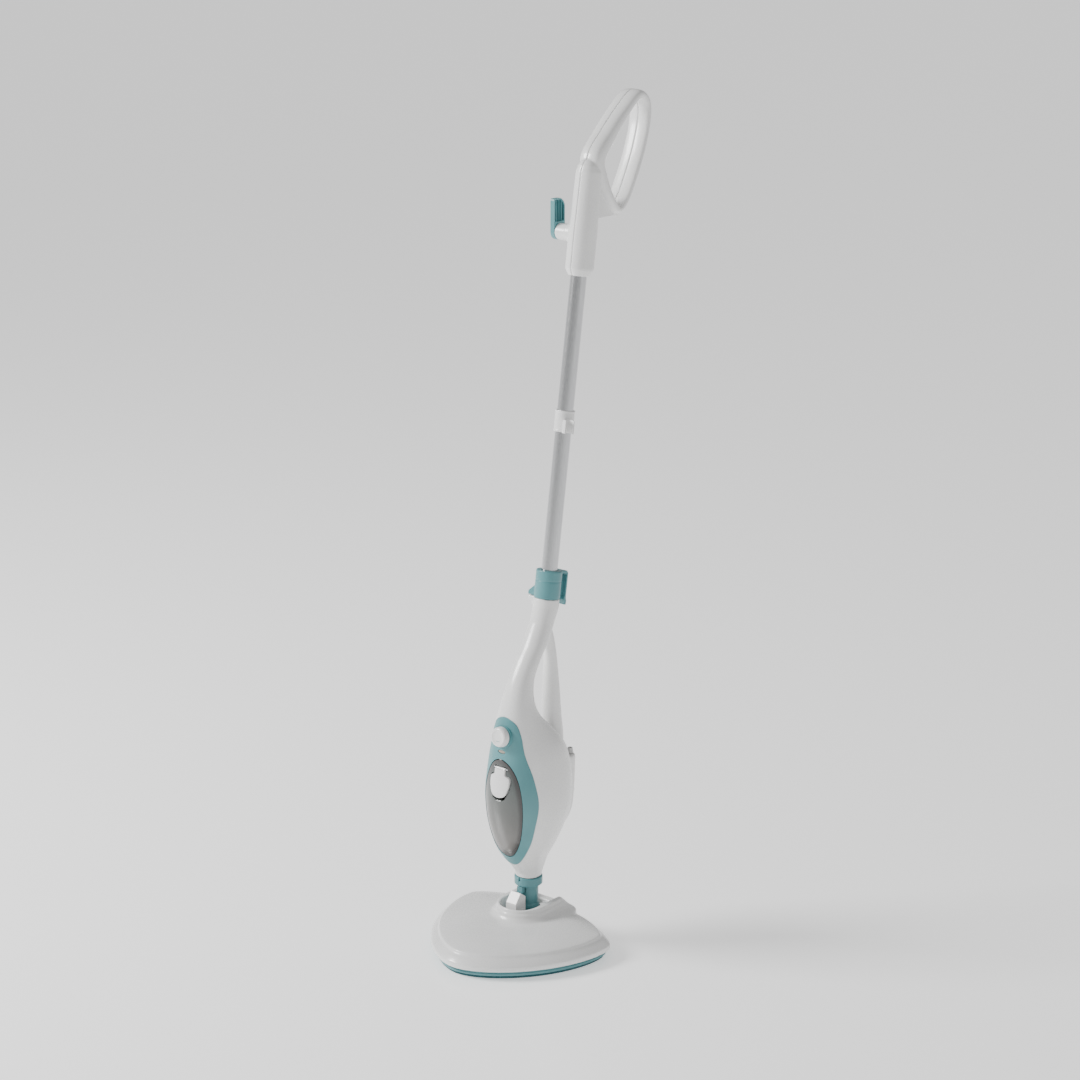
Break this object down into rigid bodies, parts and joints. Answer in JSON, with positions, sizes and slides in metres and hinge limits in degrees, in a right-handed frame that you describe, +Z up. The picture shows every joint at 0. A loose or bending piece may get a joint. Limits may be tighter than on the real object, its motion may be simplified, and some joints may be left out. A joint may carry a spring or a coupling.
{
  "type": "steam mop",
  "caption": "Upright steam mop: triangular head with cloth pad, two-axis swivel neck, hand-held steam unit with water tank, aluminium tube and D-shaped handle with cord hooks.",
  "frame": {"origin": "on the floor, in the flat underside of the pad, straight under the crossing of the two neck pivots", "axes": "+Z up, the front of the mop faces -Y, the tube leans back towards +Y, +X is the mop's own left when seen from the front"},
  "size_m": [0.2634, 0.4035, 1.1626],
  "materials": {
    "white_shell": "satin moulded ABS",
    "teal_plastic": "satin moulded ABS",
    "dark_plastic": "fine moulded texture",
    "smoked_tank": "polished smoked SAN",
    "aluminium": "drawn and polished",
    "steel": "zinc plated",
    "brass": "turned",
    "cast_aluminium": "as cast",
    "rubber": "moulded",
    "silicone": "extruded",
    "microfibre": "looped microfibre",
    "lens": "polished"
  },
  "bodies": {
    "head": {"head_cover": "white_shell", "head_base": "teal_plastic", "mop_pad": "microfibre", "head_screw_1": "steel", "head_screw_2": "steel", "head_screw_3": "steel", "head_screw_4": "steel", "front_bearing": "white_shell", "rear_bearing": "white_shell"},
    "yoke": {"swivel_yoke": "white_shell", "neck_pin": "steel"},
    "upper": {"neck": "teal_plastic", "neck_button_spring": "steel", "nozzle_seal": "rubber", "steam_nozzle": "brass", "front_casing": "white_shell", "rear_casing": "white_shell", "casing_screw_left": "steel", "casing_screw_right": "steel", "front_bezel": "teal_plastic", "water_tank": "smoked_tank", "cap_hinge_pin": "steel", "pilot_lens": "lens", "boiler": "cast_aluminium", "pump": "dark_plastic", "pump_mount": "rubber", "thermostat": "steel", "tank_hose": "silicone", "feed_hose": "silicone", "steam_pipe": "brass", "cord_gland": "dark_plastic", "tube_collar": "teal_plastic", "release_spring": "steel", "aluminium_tube": "aluminium", "tube_plug": "white_shell", "handle_left": "white_shell", "handle_right": "white_shell", "handle_screw_1": "steel", "handle_screw_2": "steel", "handle_screw_3": "steel", "hook_screw": "steel"},
    "neck_button": {"neck_button": "teal_plastic"},
    "release_button": {"release_button": "teal_plastic"},
    "steam_knob": {"steam_knob": "white_shell", "valve_shaft": "brass"},
    "tank_cap": {"tank_cap": "white_shell", "cap_seal": "rubber"},
    "cord_clip": {"cord_clip": "white_shell"},
    "cord_hook": {"cord_hook": "teal_plastic"}
  },
  "joints": [
    {"name": "head_roll", "type": "hinge", "parent": "head", "child": "yoke", "pos_m": [0, 0, 0.034], "axis": [0, 1, 0], "range_deg": [-18, 18]},
    {"name": "neck_tilt", "type": "hinge", "parent": "yoke", "child": "upper", "pos_m": [0, 0, 0.042], "axis": [-1, 0, 0], "range_deg": [0, 46]},
    {"name": "neck_button_press", "type": "slide", "parent": "upper", "child": "neck_button", "axis": [0, 1, 0], "range_m": [0, 0.0025], "stiffness_N_per_m": 600},
    {"name": "release_button_press", "type": "slide", "parent": "upper", "child": "release_button", "axis": [1, 0, 0], "range_m": [0, 0.002], "stiffness_N_per_m": 600},
    {"name": "steam_knob_turn", "type": "hinge", "parent": "upper", "child": "steam_knob", "pos_m": [0, -0.0545, 0.315], "axis": [0, -0.9903, 0.1392], "range_deg": [0, 270]},
    {"name": "tank_cap_flip", "type": "hinge", "parent": "upper", "child": "tank_cap", "pos_m": [0, -0.0572, 0.27], "axis": [-1, 0, 0], "range_deg": [0, 65]},
    {"name": "cord_clip_slide", "type": "slide", "parent": "upper", "child": "cord_clip", "axis": [0, 0.1507, 0.9886], "range_m": [-0.15, 0.12]},
    {"name": "cord_hook_turn", "type": "hinge", "parent": "upper", "child": "cord_hook", "pos_m": [0, 0.11374, 0.97885], "axis": [1, 0, 0], "range_deg": [0, 180]}
  ]
}
